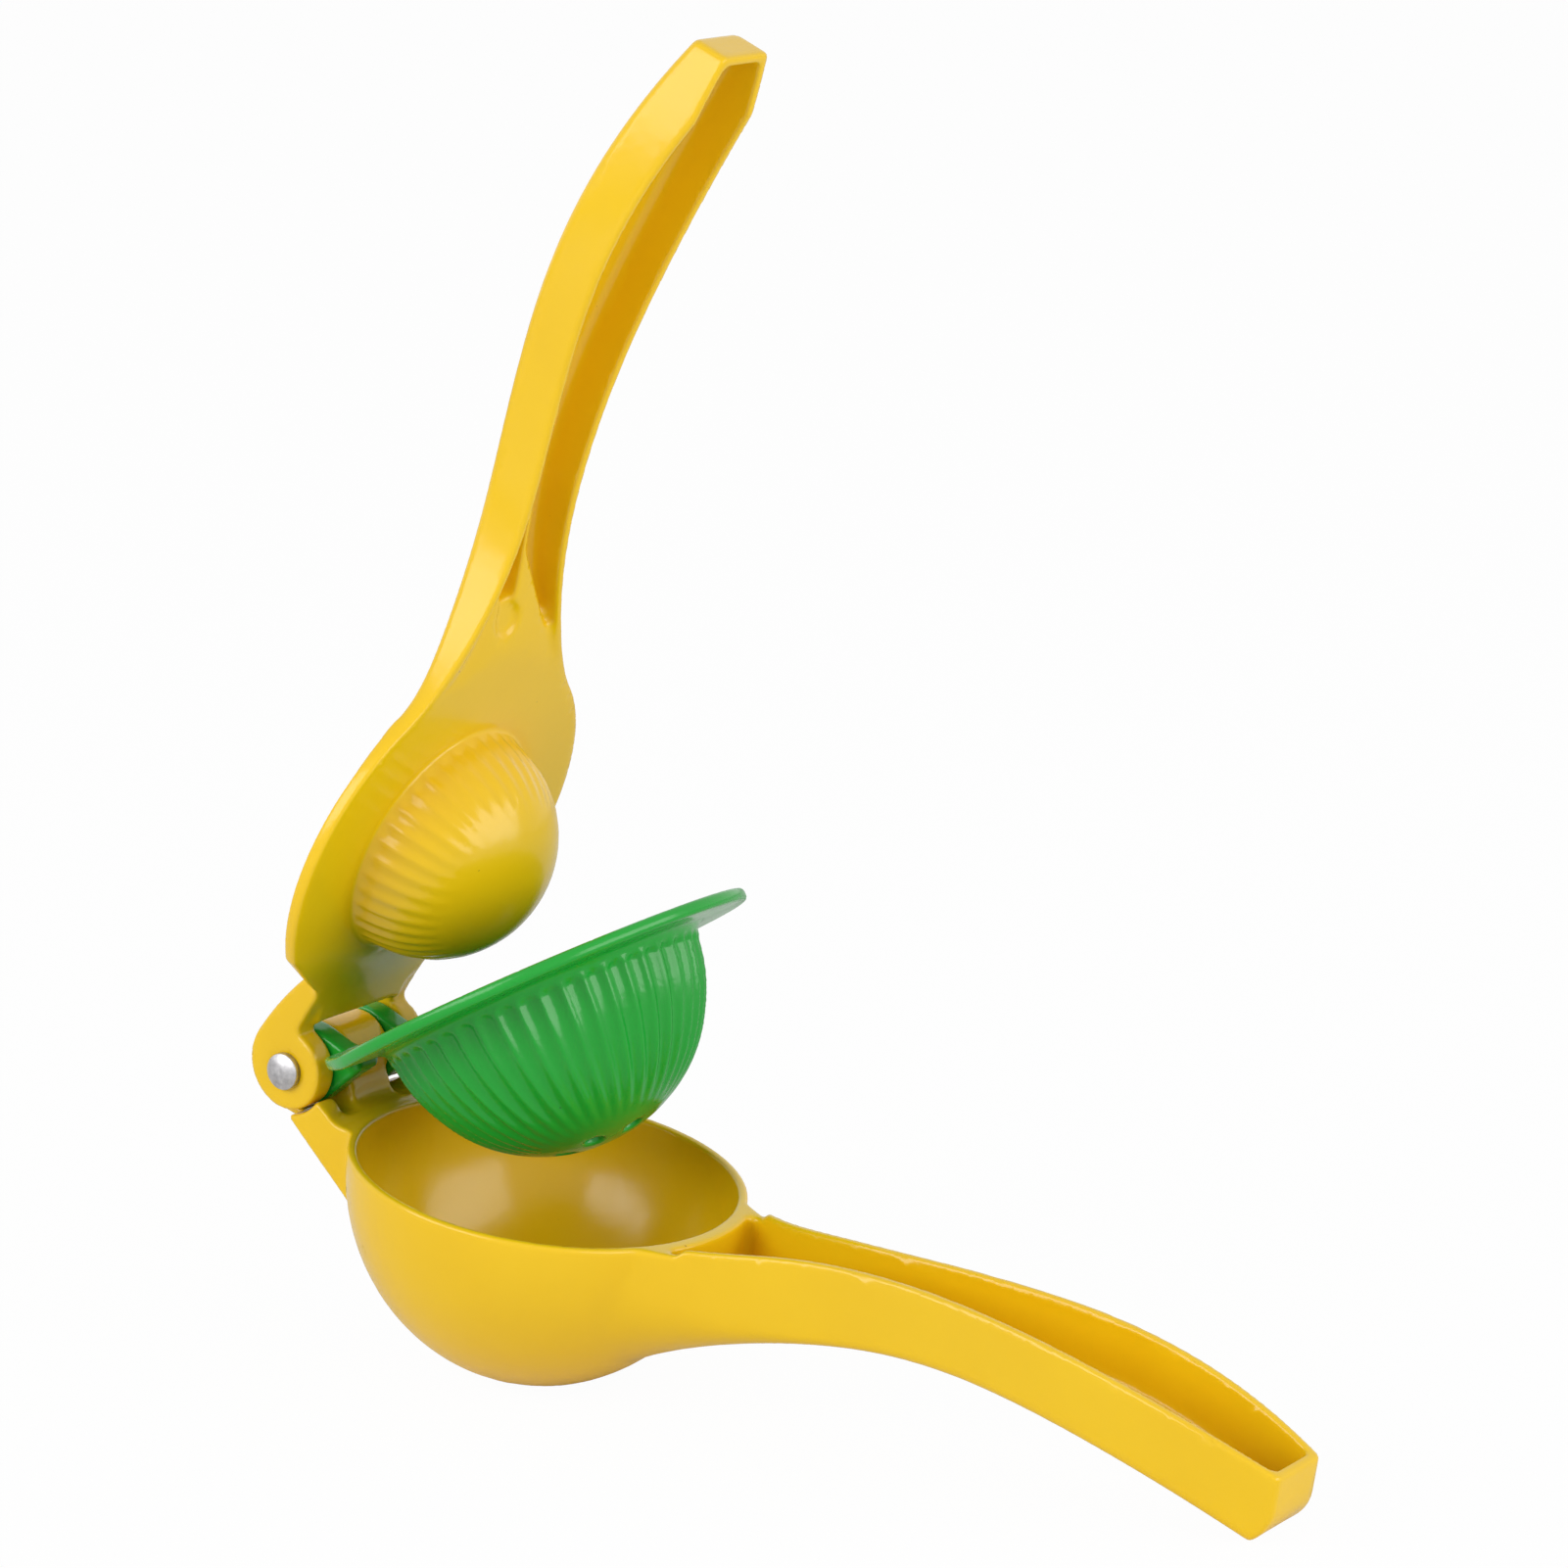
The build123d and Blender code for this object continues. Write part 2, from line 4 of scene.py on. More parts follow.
import bmesh
import bpy
import numpy as np
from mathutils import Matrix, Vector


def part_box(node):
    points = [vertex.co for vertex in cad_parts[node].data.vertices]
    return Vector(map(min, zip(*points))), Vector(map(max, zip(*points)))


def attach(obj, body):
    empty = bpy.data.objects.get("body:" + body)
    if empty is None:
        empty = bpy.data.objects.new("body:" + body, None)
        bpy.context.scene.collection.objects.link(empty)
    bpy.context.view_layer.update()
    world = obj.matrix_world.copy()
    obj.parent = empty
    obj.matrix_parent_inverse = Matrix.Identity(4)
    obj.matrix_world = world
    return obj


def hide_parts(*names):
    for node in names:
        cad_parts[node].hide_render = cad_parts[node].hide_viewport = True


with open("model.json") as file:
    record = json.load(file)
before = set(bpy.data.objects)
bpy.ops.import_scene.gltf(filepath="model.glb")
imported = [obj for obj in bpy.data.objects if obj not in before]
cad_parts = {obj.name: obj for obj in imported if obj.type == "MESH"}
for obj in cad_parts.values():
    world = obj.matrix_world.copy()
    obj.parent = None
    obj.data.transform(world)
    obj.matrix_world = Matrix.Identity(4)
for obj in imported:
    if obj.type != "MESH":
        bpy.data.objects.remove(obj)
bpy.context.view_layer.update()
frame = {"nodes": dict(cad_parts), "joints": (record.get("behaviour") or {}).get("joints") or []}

import openvdb
from mathutils import Vector

# The looks of a hinged citrus squeezer: three enamelled castings on one steel rivet.
#
# Each casting is finished as a field of signed distances in its own closed and level frame, in millimetres:
# the origin is on the bowl's axis in the plane of its rim, +X points to the handles' tips and +Z is up.
# The finished skin is then turned open about the rivet and set on the table, where the frame has it.

# --- Driving dimensions, in millimetres and degrees -----------------------------------------------------
# How far the castings are pitched and open at rest, and the rivet's place when they are closed and level
REST_PITCH = 9.6
CUP_OPENING = 38.3
PRESS_OPENING = 74.85
PIN_X = -48.05
PIN_Z = 6.5

# Fields and their skins
VOXEL = 0.4
MARGIN = 3.0                # air that a field takes in round its casting
REACH = 6.0                 # how far from the skin the distances are known
MERGING = 0.015             # how freely faces in flat places are merged
EDGE_SOFTNESS = 0.38        # spread of the rounding of every edge
SMALL_FILLET = 1.0
GROOVE_REACH = 1.6          # grooves touch nothing farther than this from the ball that they are cut in

# Press arm
PLATE_FACE = 3.75
PLATE_THICKNESS = 2.6
PLATE_RADIUS = 36.75
PLATE_TRIM = 1.5            # its face is trimmed as far as this past its rim
PLATE_HINGE_EDGE = -38.6    # straight edge between the hinge ears
PLATE_CURL = 2.35           # rise of the plate's face at its hinge edge
CURL_START = -19.0
CURL_END = -34.5
PRESS_EAR_IN = 11.05
PRESS_EAR_OUT = 15.9
EAR_OVERLAP = 1.0           # how deep the curled plate runs into the ears
EAR_GAP = 0.1               # air that the curl leaves outside the ears
EAR_FREE_X = -36.4          # behind this the ears' underside is above the plate's face
DOME_CENTRE = PLATE_FACE + 1.0
DOME_RADIUS = 22.1
DOME_ROOT = 0.6             # band round the dome's foot that the curl leaves alone
DOME_GUARD = ((-26, -26, -20), (26, 26, 6))     # no fillets here
DOME_GUARD_BORDER = 1
CREASE = 0.45               # radius of the crease round the dome's foot
DOME_RIB_COUNT = 40
DOME_RIB_DEPTH = 0.55
DOME_RIB_LEDGE = 1.4        # smooth band under the dome's foot, and the run-in to the ribs below it
DOME_RIB_RUN_IN = 1.2
DOME_RIB_FADE = (14.0, 58.0)
TONGUE_SLOPE = 12.4
PIT_X = 45.15
PIT_Y = -2.2
PIT_RADIUS = 3.5
PIT_DEPTH = 0.9
PIT_FLOOR = 1.6

# Cup
FLANGE_UNDERSIDE = 1.0
FLANGE_TOP = 3.4
FLANGE_RADIUS = 39.85
FLANGE_CURL = 1.7           # rise of the flange at its hinge side, under the plate's own rise
FLANGE_ROOT = 0.8           # band round the cup that the curl leaves alone
CURL_DEPTH = 3.0            # how far under the flange the curl clears what was there
FLANGE_SOFTNESS = 0.26      # further spread that the flange's edges get
FLANGE_BORDER = (FLANGE_UNDERSIDE - 1.6, FLANGE_UNDERSIDE - 0.4)
FIN_IN = 5.4                # the cup's hinge fins lie between these distances from the middle plane
FIN_OUT = 11.2
FIN_ROOT = -36.0
CUP_CENTRE = FLANGE_UNDERSIDE
CUP_RIB_RADIUS = 29.55
FLUTE_COUNT = 44
FLUTE_DEPTH = 1.2
FLUTE_SOFTNESS = 0.28
FLUTE_LEDGE = 1.6           # smooth band between the flange and the flutes
FLUTE_LEDGE_BOW = 0.9       # the band is deeper by this between two flutes
FLUTE_RUN_IN = 0.7
FLUTE_FADE = (26.0, 70.0)   # degrees below the rim

# Lower arm
BOWL_OUTER = 35.85
BOWL_OUTER_DEPTH = 38.92
BOWL_GUARD = (0.93, 0.98)   # the neck's fillet sets in between these levels, and the bowl's outside is at 1
NECK_FILLET = 4.5
NECK_BOX = ((10, -40, -45), (75, 40, -8))
NECK_BORDER = 4
VALLEY_FILLET = 1.4
VALLEY_BOX = ((-47, -PRESS_EAR_OUT, -8), (-30, PRESS_EAR_OUT, 8))
VALLEY_BORDER = 1
EAR_CLEARANCE = 8.25        # radius round the rivet that the bracket leaves free for the ears
SKIRT_WALL = 1.6
SKIRT_SECTOR = (244.0, 280.0)

# Rivet
SHANK_RADIUS = 2.5
HEAD_RISE = 0.85            # of each head's dome over its rim
HEAD_EDGE = 0.25            # rounding of the rim
CROWN_STEPS = 14
EDGE_STEPS = 6
TURNED_STEPS = 64

# --- Finishes and the studio, in metres -----------------------------------------------------------------
WHITE = (1, 1, 1, 1)
YELLOW = (0.85, 0.54, 0.006, 1)
DEEP_YELLOW = (0.82, 0.51, 0.005, 1)
YELLOW_FLECK = (0.30, 0.16, 0.01, 1)
GREEN = (0.007, 0.35, 0.030, 1)
DEEP_GREEN = (0.006, 0.32, 0.026, 1)
GREEN_FLECK = (0.005, 0.14, 0.02, 1)
DARK_STEEL = (0.42, 0.41, 0.42, 1)
BRIGHT_STEEL = (0.62, 0.61, 0.62, 1)
ENAMEL_ROUGHNESS = (0.17, 0.23)
ENAMEL_IOR = 1.45
STEEL_ROUGHNESS = (0.28, 0.5)

FLOOR_HALF = 4.0
FLOOR_COLOUR = (0.86, 0.86, 0.86, 1)
FLOOR_WHITENESS = 0.97      # how much of the floor the camera sees as plain white
WORLD_GLOW = 0.45
LIGHT_DISTANCE = 1.5
LIT_PLACE = (0.0, 0.0, 0.08)

SENSOR_WIDTH = 36.0         # millimetres, and so is the lens
LENS = 131.72
CAMERA_PLACE = (0.573143, -0.793748, 0.327204)
CAMERA_TURN = (77.3827, -0.2733, 33.4198)
CAMERA_CLIP = (0.05, 20.0)


# --- Fields of signed distances -------------------------------------------------------------------------
def turn_about_y(angle):
    """Rotation that tips +X towards -Z, for row vectors."""
    c = cos(radians(angle))
    s = sin(radians(angle))
    return np.array([[c, 0, -s], [0, 1, 0], [s, 0, c]])


class Frame:
    """A casting's closed and level frame, and the way to it from where the casting rests."""

    def __init__(self, opening):
        self.turn = turn_about_y(REST_PITCH - opening)
        self.pin = np.array([PIN_X, 0, PIN_Z])
        self.pin_at_rest = np.array(frame["joints"][0]["pos_m"]) * 1000

    def closed(self, points):
        return (points * 1000 - self.pin_at_rest) @ self.turn.T + self.pin

    def at_rest(self, points):
        return ((points - self.pin) @ self.turn + self.pin_at_rest) / 1000


class Field:
    """Signed distances to a casting's skin on a regular grid: negative inside, positive outside."""

    def __init__(self, node, place):
        mesh = frame["nodes"][node].data
        mesh.calc_loop_triangles()
        points = np.zeros(len(mesh.vertices) * 3)
        mesh.vertices.foreach_get("co", points)
        points = place.closed(points.reshape(-1, 3))
        triangles = np.zeros(len(mesh.loop_triangles) * 3, np.int32)
        mesh.loop_triangles.foreach_get("vertices", triangles)
        self.place = place
        self.lowest = np.floor((points.min(0) - MARGIN) / VOXEL).astype(int)
        self.shape = tuple(np.ceil((points.max(0) + MARGIN) / VOXEL).astype(int) - self.lowest + 1)
        self.x, self.y, self.z = self._axes()
        grid = self._level_set(points, triangles=triangles.reshape(-1, 3).astype(np.uint32))
        self.values = self._array(grid)

    def _axes(self):
        axes = []
        for axis in range(3):
            marks = (np.arange(self.shape[axis]) + self.lowest[axis]) * VOXEL
            spread = [1, 1, 1]
            spread[axis] = -1
            axes.append(marks.astype(np.float32).reshape(spread))
        return axes

    def _level_set(self, points, **faces):
        return openvdb.FloatGrid.createLevelSetFromPolygons(
            points.astype(np.float32), transform=openvdb.createLinearTransform(voxelSize=VOXEL),
            halfWidth=REACH / VOXEL, **faces)

    def _array(self, grid):
        values = np.zeros(self.shape, np.float32)
        grid.copyToArray(values, ijk=tuple(int(i) for i in self.lowest))
        return values

    def _grid(self, values):
        grid = openvdb.FloatGrid(REACH)
        grid.transform = openvdb.createLinearTransform(voxelSize=VOXEL)
        grid.copyFromArray(np.ascontiguousarray(values), ijk=tuple(int(i) for i in self.lowest))
        return grid

    def with_fillets(self, radius):
        """The distances after a ball of that radius has filled every inside corner."""
        points, quads = self._grid(self.values).convertToQuads(isovalue=radius)
        return self._array(self._level_set(points, quads=quads)) + radius

    def fill(self, radius, share=1.0):
        """Fills inside corners with fillets where share is 1, and not where it is 0."""
        self.values += share * np.minimum(self.with_fillets(radius) - self.values, 0)

    def trim(self, bound, where=True):
        """Takes away what is outside a bound, whose distances are positive there."""
        self.values = np.where(where, np.maximum(self.values, bound), self.values)

    def add(self, body):
        """Adds what is inside a body, whose distances are negative there."""
        self.values = np.minimum(self.values, body)

    def soften(self, spread):
        """Rounds every edge by spreading each distance over its neighbours."""
        reach = int(np.ceil(2.5 * spread / VOXEL))
        weights = np.exp(-0.5 * (np.arange(reach + 1) * VOXEL / spread) ** 2)
        weights /= weights[0] + 2 * weights[1:].sum()
        for axis in range(3):
            total = weights[0] * self.values
            for step in range(1, reach + 1):
                total += weights[step] * np.roll(self.values, step, axis)
                total += weights[step] * np.roll(self.values, -step, axis)
            self.values = total.astype(np.float32)

    def _at(self, values, points):
        """The values at points, read between the grid's corners."""
        where = points / VOXEL - self.lowest
        base = np.floor(where).astype(int)
        part = where - base
        total = 0
        for corner in np.ndindex(2, 2, 2):
            share = np.prod(np.where(corner, part, 1 - part), axis=1)
            total = total + share * values[tuple((base + corner).T)]
        return total

    def skin(self, name):
        """The field's skin as a mesh object at rest, shaded by the field's own slope."""
        points, triangles, quads = self._grid(self.values).convertToPolygons(adaptivity=MERGING)
        points = points.astype(float)
        slopes = np.stack([self._at(slope, points) for slope in np.gradient(self.values)], 1)
        slopes /= np.linalg.norm(slopes, axis=1, keepdims=True)
        faces = []
        for group in (triangles.astype(int), quads.astype(int)):
            corners = points[group]
            facing = np.cross(corners[:, 1] - corners[:, 0], corners[:, 2] - corners[:, 0])
            if (facing * slopes[group[:, 0]]).sum() < 0:
                group = group[:, ::-1]
            faces += group.tolist()
        mesh = bpy.data.meshes.new(name)
        mesh.from_pydata(self.place.at_rest(points), [], faces)
        mesh.shade_smooth()
        mesh.normals_split_custom_set_from_vertices(slopes @ self.place.turn)
        piece = bpy.data.objects.new(name, mesh)
        bpy.context.scene.collection.objects.link(piece)
        return piece


def ramp(values, start, end):
    """0 at start, 1 at end and smooth between them."""
    share = np.clip((values - start) / (end - start), 0, 1)
    return share * share * (3 - 2 * share)


def inside_box(field, lowest, highest, soft):
    """1 inside a box and 0 outside it, changing over a soft border."""
    share = 1.0
    for marks, low, high in zip((field.x, field.y, field.z), lowest, highest):
        share = share * ramp(marks, low - soft, low) * ramp(marks, high + soft, high)
    return share


def between_walls(field):
    """1 in the air that has a wall on both sides along Y, as in a handle's channel, and 0 elsewhere."""
    solid = field.values < 0
    from_near = np.maximum.accumulate(solid, axis=1)
    from_far = np.maximum.accumulate(solid[:, ::-1], axis=1)[:, ::-1]
    return (from_near & from_far).astype(np.float32)


def cut_flutes(field, centre_z, ball, count, depth, fade, ledge, run_in, bow=0.0):
    """Cuts flutes into the lower half of a ball.

    They start under a ledge, deepen over the run-in and fade out between two angles below the ball's centre.
    The bow makes the ledge deeper between the flutes.
    """
    drop = centre_z - field.z
    across = np.sqrt(field.x ** 2 + field.y ** 2)
    down = np.degrees(np.arctan2(drop, across))
    turn = np.arctan2(field.y, field.x) * count / (2 * pi)
    offset = 2 * (turn - np.round(turn))
    start = ledge + bow * offset ** 2
    cut = np.maximum(depth * (1 - ramp(down, *fade)) - depth * offset ** 2, 0)
    cut = cut * ramp(drop, start, start + run_in)
    radius = np.sqrt(field.x ** 2 + field.y ** 2 + drop ** 2)
    field.trim(radius - ball + cut, (cut > 0) & (np.abs(radius - ball) < GROOVE_REACH))


# --- Castings -------------------------------------------------------------------------------------------
def hinge_skirt(field):
    """The saddle under the cup's eyes, carried on round the back of the bracket."""
    out_x = field.x - PIN_X
    out_z = field.z - PIN_Z
    radius = np.sqrt(out_x ** 2 + out_z ** 2)
    bearing = np.degrees(np.arctan2(out_z, out_x)) % 360
    first, last = SKIRT_SECTOR
    ends = np.radians(np.maximum(first - bearing, bearing - last)) * radius
    ring = np.maximum(EAR_CLEARANCE - radius, radius - EAR_CLEARANCE - SKIRT_WALL)
    return np.maximum(np.maximum(ring, ends), np.abs(field.y) - FIN_OUT)


def finished_lower_arm():
    field = Field("lower_arm", Frame(0))
    level = field.x ** 2 / BOWL_OUTER ** 2 + field.y ** 2 / BOWL_OUTER ** 2
    level = level + field.z ** 2 / BOWL_OUTER_DEPTH ** 2
    neck = ramp(level, *BOWL_GUARD) * inside_box(field, *NECK_BOX, NECK_BORDER)
    field.fill(NECK_FILLET, neck * (1 - between_walls(field)))
    field.fill(VALLEY_FILLET, inside_box(field, *VALLEY_BOX, VALLEY_BORDER))
    field.fill(SMALL_FILLET)
    field.add(hinge_skirt(field))
    field.soften(EDGE_SOFTNESS)
    return field.skin("lower_arm_casting")


def curl_flange(field):
    """Bends the flange up at its hinge side, beside the fins."""
    across = np.sqrt(field.x ** 2 + field.y ** 2)
    off_middle = np.abs(field.y)
    off_fins = (field.x > FIN_ROOT) | (off_middle < FIN_IN) | (off_middle > FIN_OUT)
    off_cup = (field.x < CURL_START) & (across > CUP_RIB_RADIUS + FLANGE_ROOT)
    rise = FLANGE_CURL * ramp(field.x, CURL_START, CURL_END)
    under = FLANGE_UNDERSIDE + rise - field.z
    field.trim(under, off_cup & off_fins & (field.z > FLANGE_UNDERSIDE - CURL_DEPTH))
    slab = np.maximum(under, field.z - FLANGE_TOP - rise)
    slab = np.maximum(slab, np.maximum(across - FLANGE_RADIUS, CUP_RIB_RADIUS - across))
    field.add(np.maximum(slab, field.x - CURL_START))


def finished_cup():
    field = Field("lime_cup", Frame(CUP_OPENING))
    curl_flange(field)
    field.fill(SMALL_FILLET)
    cut_flutes(field, CUP_CENTRE, CUP_RIB_RADIUS, FLUTE_COUNT, FLUTE_DEPTH, FLUTE_FADE,
               FLUTE_LEDGE, FLUTE_RUN_IN, FLUTE_LEDGE_BOW)
    field.soften(FLUTE_SOFTNESS)
    fluted = field.values
    field.soften(FLANGE_SOFTNESS)
    field.values = fluted + (field.values - fluted) * ramp(field.z, *FLANGE_BORDER)
    return field.skin("lime_cup_casting")


def curl_plate(field, across):
    """Curls the plate up to its straight edge between the hinge ears, the back with the face."""
    off_middle = np.abs(field.y)
    off_ears = (off_middle < PRESS_EAR_IN) | (off_middle > PRESS_EAR_OUT + EAR_GAP) | (field.x > EAR_FREE_X)
    face = PLATE_FACE + PLATE_CURL * ramp(field.x, CURL_START, CURL_END)
    under_face = np.minimum(face - field.z, field.x + PLATE_RADIUS + PLATE_TRIM)
    field.trim(under_face, (across > DOME_RADIUS + DOME_ROOT) & off_ears)
    slab = np.maximum(face - field.z, field.z - face - PLATE_THICKNESS)
    slab = np.maximum(slab, np.maximum(PLATE_HINGE_EDGE - field.x, field.x - CURL_START))
    field.add(np.maximum(slab, off_middle - PRESS_EAR_IN - EAR_OVERLAP))


def pit_floor(field, across):
    """The shallow floor of the round pit in the tongue, whose face slopes away from the plate's rim."""
    face = PLATE_FACE + (across - PLATE_RADIUS) * tan(radians(TONGUE_SLOPE))
    inside = np.sqrt((field.x - PIT_X) ** 2 + (field.y - PIT_Y) ** 2) - PIT_RADIUS
    return np.maximum(inside, np.abs(field.z - face - PIT_DEPTH - PIT_FLOOR / 2) - PIT_FLOOR / 2)


def finished_press_arm():
    field = Field("press_arm", Frame(PRESS_OPENING))
    across = np.sqrt(field.x ** 2 + field.y ** 2)
    curl_plate(field, across)
    field.add(pit_floor(field, across))
    field.fill(SMALL_FILLET, 1 - inside_box(field, *DOME_GUARD, DOME_GUARD_BORDER))
    cut_flutes(field, DOME_CENTRE, DOME_RADIUS, DOME_RIB_COUNT, DOME_RIB_DEPTH, DOME_RIB_FADE,
               DOME_RIB_LEDGE, DOME_RIB_RUN_IN)
    crease = np.sqrt((across - DOME_RADIUS - CREASE) ** 2 + (field.z - PLATE_FACE) ** 2) - CREASE
    field.trim(-crease)
    field.soften(EDGE_SOFTNESS)
    return field.skin("press_arm_casting")


# --- Rivet ----------------------------------------------------------------------------------------------
def rivet_profile(head, half):
    """Radii and heights of half the rivet, in metres: its head's dome and rim, and its shank."""
    ear, shank, rise, edge = (size / 1000 for size in (PRESS_EAR_OUT, SHANK_RADIUS, HEAD_RISE, HEAD_EDGE))
    crown = (head ** 2 + rise ** 2) / (2 * rise)
    profile = [(0, half)]
    for step in range(1, CROWN_STEPS + 1):
        r = (head - edge) * step / CROWN_STEPS
        profile.append((r, half - crown + (crown ** 2 - r ** 2) ** 0.5))
    top = profile[-1][1]
    for step in range(1, EDGE_STEPS + 1):
        turn = pi / 2 * step / EDGE_STEPS
        profile.append((head - edge + edge * sin(turn), top - edge + edge * cos(turn)))
    return profile + [(head, ear), (shank, ear), (shank, 0)]


def turned_rivet():
    """The rivet's two domed heads and its shank, turned on its axis."""
    low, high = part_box("hinge_rivet")
    profile = rivet_profile((high.x - low.x) / 2, (high.y - low.y) / 2)
    profile += [(r, -y) for r, y in reversed(profile[:-1])]
    build = bmesh.new()
    chain = [build.verts.new((r, y, 0)) for r, y in profile]
    edges = [build.edges.new(pair) for pair in zip(chain, chain[1:])]
    bmesh.ops.spin(build, geom=chain + edges, cent=(0, 0, 0), axis=(0, 1, 0), angle=2 * pi, steps=TURNED_STEPS,
                   use_merge=True)
    bmesh.ops.remove_doubles(build, verts=build.verts, dist=1e-7)
    bmesh.ops.recalc_face_normals(build, faces=build.faces)
    bmesh.ops.translate(build, verts=build.verts, vec=(low + high) / 2)
    mesh = bpy.data.meshes.new("hinge_rivet_turned")
    build.to_mesh(mesh)
    build.free()
    mesh.shade_smooth()
    piece = bpy.data.objects.new("hinge_rivet_turned", mesh)
    bpy.context.scene.collection.objects.link(piece)
    return piece


# --- Materials ------------------------------------------------------------------------------------------
class Nodes:
    """A material's node tree, built a node at a time."""

    def __init__(self, name):
        self.material = bpy.data.materials.new(name)
        self.material.use_nodes = True
        self.tree = self.material.node_tree
        self.shader = self.tree.nodes["Principled BSDF"]
        self.coordinates = self.new("ShaderNodeTexCoord").outputs["Object"]

    def new(self, kind, **settings):
        node = self.tree.nodes.new(kind)
        for key, value in settings.items():
            setattr(node, key, value)
        return node

    def link(self, output, target):
        self.tree.links.new(output, target)

    def noise(self, scale, detail):
        node = self.new("ShaderNodeTexNoise")
        node.inputs["Scale"].default_value = scale
        node.inputs["Detail"].default_value = detail
        self.link(self.coordinates, node.inputs["Vector"])
        return node.outputs["Fac"]

    def patches(self, scale, detail, between=(0.3, 0.7), to=(0.0, 1.0)):
        """Noise, with what lies between two of its levels spread over another range."""
        node = self.new("ShaderNodeMapRange")
        node.inputs["From Min"].default_value, node.inputs["From Max"].default_value = between
        node.inputs["To Min"].default_value, node.inputs["To Max"].default_value = to
        self.link(self.noise(scale, detail), node.inputs["Value"])
        return node.outputs["Result"]

    def mix(self, share, first, second):
        node = self.new("ShaderNodeMix", data_type="RGBA")
        self.link(share, node.inputs["Factor"])
        for socket, value in ((node.inputs["A"], first), (node.inputs["B"], second)):
            if isinstance(value, tuple):
                socket.default_value = value
            else:
                self.link(value, socket)
        return node.outputs["Result"]

    def roughen(self, scale, detail, strength, distance):
        """Fine relief of noise in the shader's normal."""
        bump = self.new("ShaderNodeBump")
        bump.inputs["Strength"].default_value = strength
        bump.inputs["Distance"].default_value = distance
        self.link(self.noise(scale, detail), bump.inputs["Height"])
        self.link(bump.outputs["Normal"], self.shader.inputs["Normal"])


def enamel(name, colour, deep, fleck):
    """Glossy enamel over a casting: slightly uneven colour, an orange-peel skin and a few tiny pits."""
    nodes = Nodes(name)
    body = nodes.mix(nodes.patches(scale=45.0, detail=4.0), colour, deep)
    pits = nodes.patches(scale=900.0, detail=1.0, between=(0.82, 0.85))
    nodes.link(nodes.mix(pits, body, fleck), nodes.shader.inputs["Base Color"])
    rough = nodes.patches(scale=160.0, detail=3.0, to=ENAMEL_ROUGHNESS)
    nodes.link(rough, nodes.shader.inputs["Roughness"])
    nodes.shader.inputs["IOR"].default_value = ENAMEL_IOR
    nodes.roughen(scale=620.0, detail=2.0, strength=0.12, distance=0.0002)
    return nodes.material


def brushed_steel(name):
    """Bare steel with a mottled, slightly dull and finely marked skin."""
    nodes = Nodes(name)
    mottle = nodes.mix(nodes.patches(scale=900.0, detail=4.0), DARK_STEEL, BRIGHT_STEEL)
    nodes.link(mottle, nodes.shader.inputs["Base Color"])
    nodes.shader.inputs["Metallic"].default_value = 1.0
    rough = nodes.patches(scale=2500.0, detail=2.0, to=STEEL_ROUGHNESS)
    nodes.link(rough, nodes.shader.inputs["Roughness"])
    nodes.roughen(scale=4000.0, detail=2.0, strength=0.2, distance=0.00005)
    return nodes.material


# --- Stage ----------------------------------------------------------------------------------------------
def pale_floor():
    """A matt floor that the camera sees as almost plain white, with a little of the squeezer's shadow."""
    near, far = -FLOOR_HALF, FLOOR_HALF
    corners = [(near, near, 0), (far, near, 0), (far, far, 0), (near, far, 0)]
    mesh = bpy.data.meshes.new("floor")
    mesh.from_pydata(corners, [], [(0, 1, 2, 3)])
    floor = bpy.data.objects.new("floor", mesh)
    bpy.context.scene.collection.objects.link(floor)
    nodes = Nodes("pale_floor")
    nodes.tree.nodes.remove(nodes.shader)
    matte = nodes.new("ShaderNodeBsdfDiffuse")
    matte.inputs["Color"].default_value = FLOOR_COLOUR
    white = nodes.new("ShaderNodeEmission")
    white.inputs["Color"].default_value = WHITE
    path = nodes.new("ShaderNodeLightPath")
    share = nodes.new("ShaderNodeMath", operation="MULTIPLY")
    share.inputs[1].default_value = FLOOR_WHITENESS
    nodes.link(path.outputs["Is Camera Ray"], share.inputs[0])
    mixed = nodes.new("ShaderNodeMixShader")
    nodes.link(share.outputs[0], mixed.inputs["Fac"])
    nodes.link(matte.outputs[0], mixed.inputs[1])
    nodes.link(white.outputs[0], mixed.inputs[2])
    nodes.link(mixed.outputs[0], nodes.tree.nodes["Material Output"].inputs["Surface"])
    mesh.materials.append(nodes.material)


def studio_world():
    """A soft even glow on the squeezer, and plain white where the camera or a reflection sees the world."""
    world = bpy.data.worlds.new("studio")
    bpy.context.scene.world = world
    world.use_nodes = True
    tree = world.node_tree
    tree.nodes.clear()
    mixed = tree.nodes.new("ShaderNodeMixShader")
    for place, strength in ((1, WORLD_GLOW), (2, 1.0)):
        background = tree.nodes.new("ShaderNodeBackground")
        background.inputs["Color"].default_value = WHITE
        background.inputs["Strength"].default_value = strength
        tree.links.new(background.outputs[0], mixed.inputs[place])
    path = tree.nodes.new("ShaderNodeLightPath")
    seen = path.outputs["Is Camera Ray"]
    for kind in ("Is Glossy Ray", "Is Transmission Ray"):
        either = tree.nodes.new("ShaderNodeMath")
        either.operation = "MAXIMUM"
        tree.links.new(seen, either.inputs[0])
        tree.links.new(path.outputs[kind], either.inputs[1])
        seen = either.outputs[0]
    tree.links.new(seen, mixed.inputs["Fac"])
    output = tree.nodes.new("ShaderNodeOutputWorld")
    tree.links.new(mixed.outputs[0], output.inputs["Surface"])


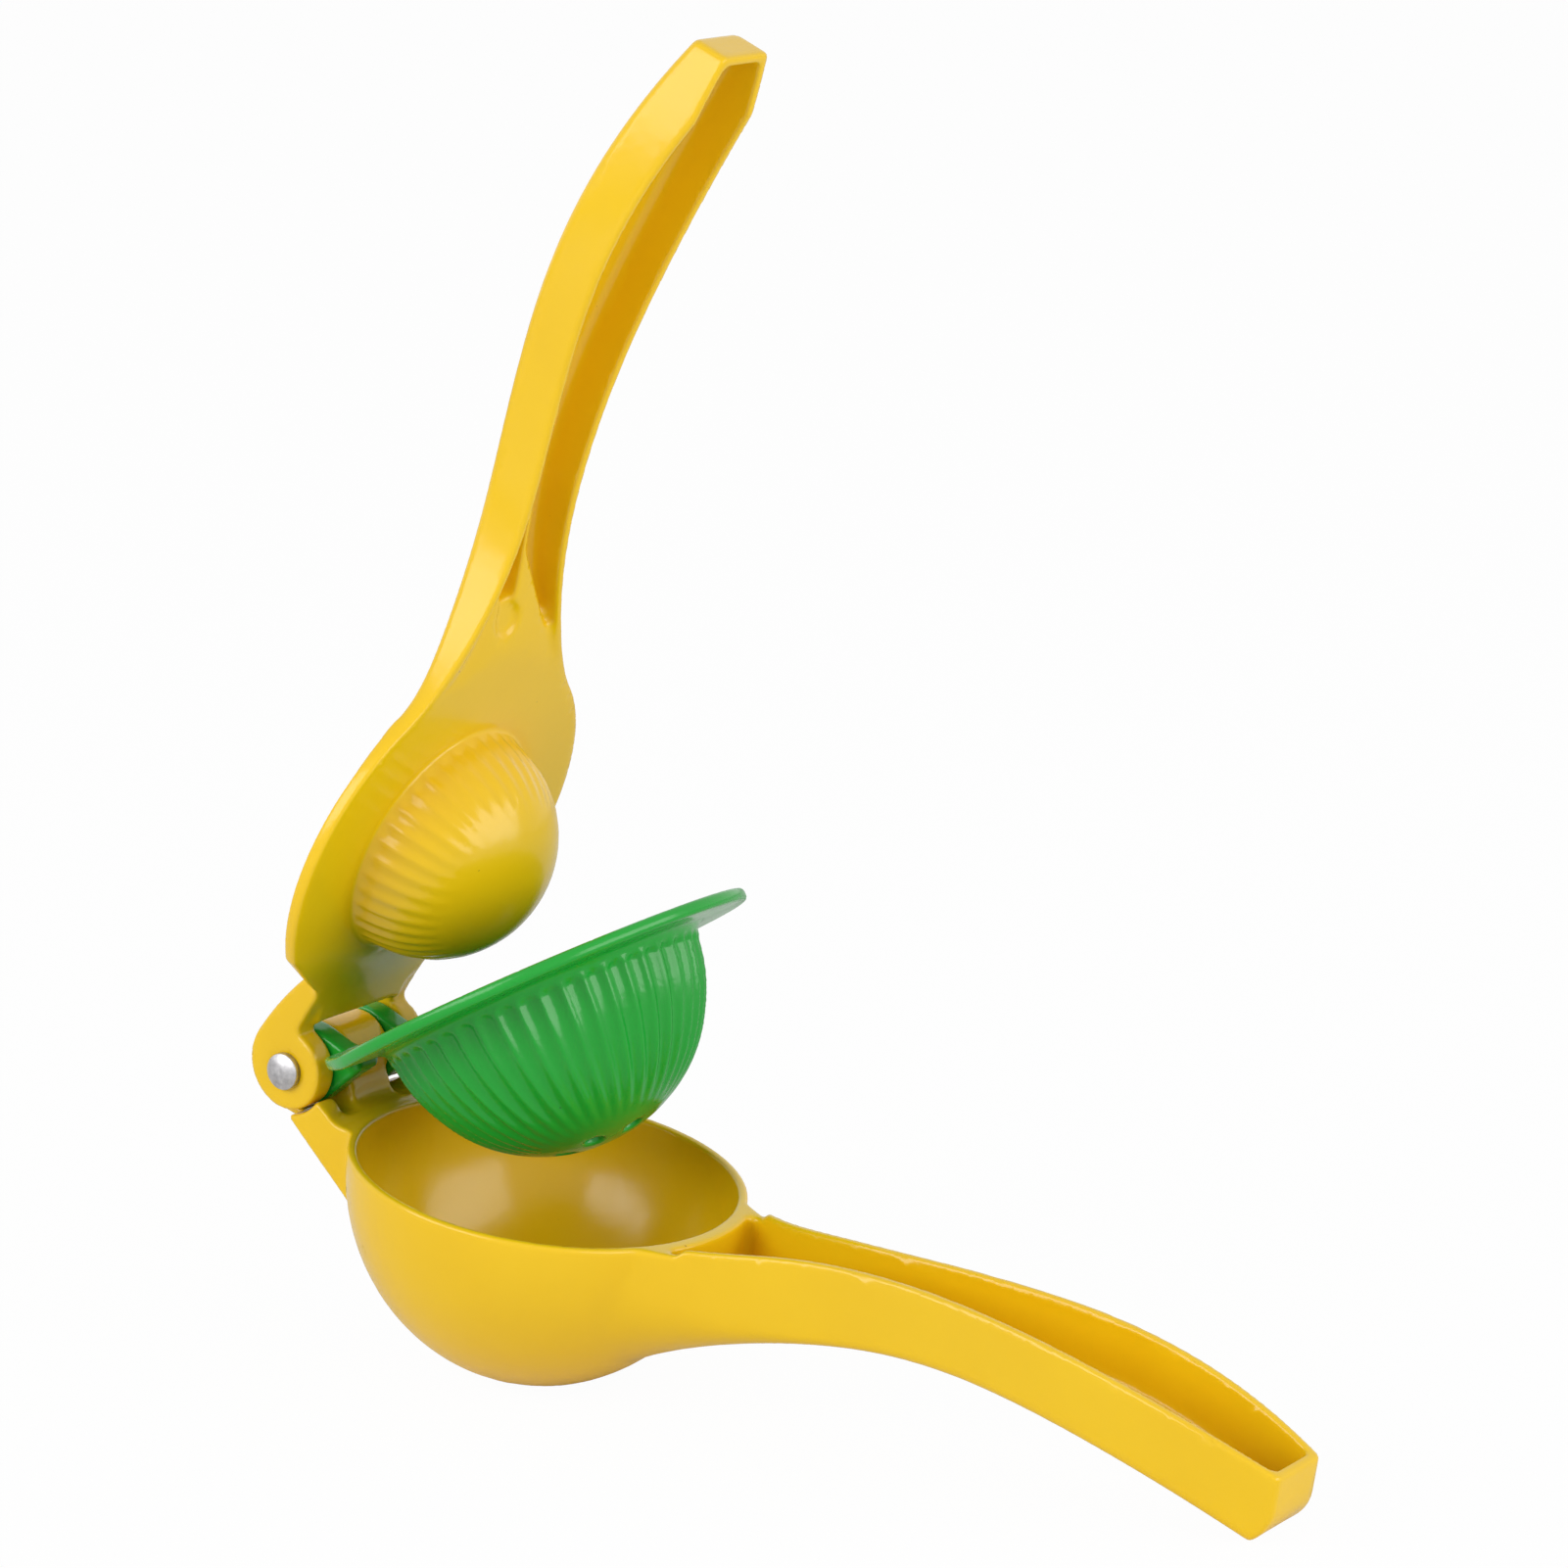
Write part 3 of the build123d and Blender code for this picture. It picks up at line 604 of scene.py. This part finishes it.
def softbox(name, bearing, height, across, tall, radiance):
    """An even rectangle of light, placed and sized by the angles under which the squeezer sees it.

    The bearing is from -Y towards +X, the height is above the floor, and both are in degrees.
    """
    lamp = bpy.data.lights.new(name, "AREA")
    lamp.shape = "RECTANGLE"
    lamp.size = 2 * LIGHT_DISTANCE * tan(radians(across / 2))
    lamp.size_y = 2 * LIGHT_DISTANCE * tan(radians(tall / 2))
    lamp.energy = radiance * pi * lamp.size * lamp.size_y
    level = cos(radians(height))
    away = Vector((sin(radians(bearing)) * level, -cos(radians(bearing)) * level, sin(radians(height))))
    box = bpy.data.objects.new(name, lamp)
    box.location = Vector(LIT_PLACE) + LIGHT_DISTANCE * away
    box.rotation_euler = (-away).to_track_quat("-Z", "Y").to_euler()
    bpy.context.scene.collection.objects.link(box)


def photographer():
    """The camera at the photograph's place and angle, in the frame that the squeezer rests in."""
    camera = bpy.data.cameras.new("camera")
    camera.sensor_width = SENSOR_WIDTH
    camera.lens = LENS
    camera.clip_start, camera.clip_end = CAMERA_CLIP
    rig = bpy.data.objects.new("camera", camera)
    rig.location = CAMERA_PLACE
    rig.rotation_euler = [radians(angle) for angle in CAMERA_TURN]
    bpy.context.scene.collection.objects.link(rig)
    bpy.context.scene.camera = rig


# --- Assembly -------------------------------------------------------------------------------------------
yellow = enamel("yellow_enamel_coat", YELLOW, DEEP_YELLOW, YELLOW_FLECK)
green = enamel("green_enamel_coat", GREEN, DEEP_GREEN, GREEN_FLECK)
steel = brushed_steel("rivet_steel_brushed")

PIECES = [
    (finished_lower_arm, "lower_arm", "lower_body", "yellow_enamel", yellow),
    (finished_cup, "lime_cup", "cup_body", "green_enamel", green),
    (finished_press_arm, "press_arm", "press_body", "yellow_enamel", yellow),
    (turned_rivet, "hinge_rivet", "press_body", "rivet_steel", steel),
]
for make, node, body, slot, material in PIECES:
    piece = make()
    piece.data.materials.append(material)
    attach(piece, body)
    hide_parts(node)

pale_floor()
studio_world()
softbox("right_softbox", bearing=92, height=17, across=57, tall=30, radiance=3.1)
softbox("left_softbox", bearing=-18, height=26, across=50, tall=30, radiance=3.8)
photographer()
bpy.context.scene.view_settings.view_transform = "Standard"
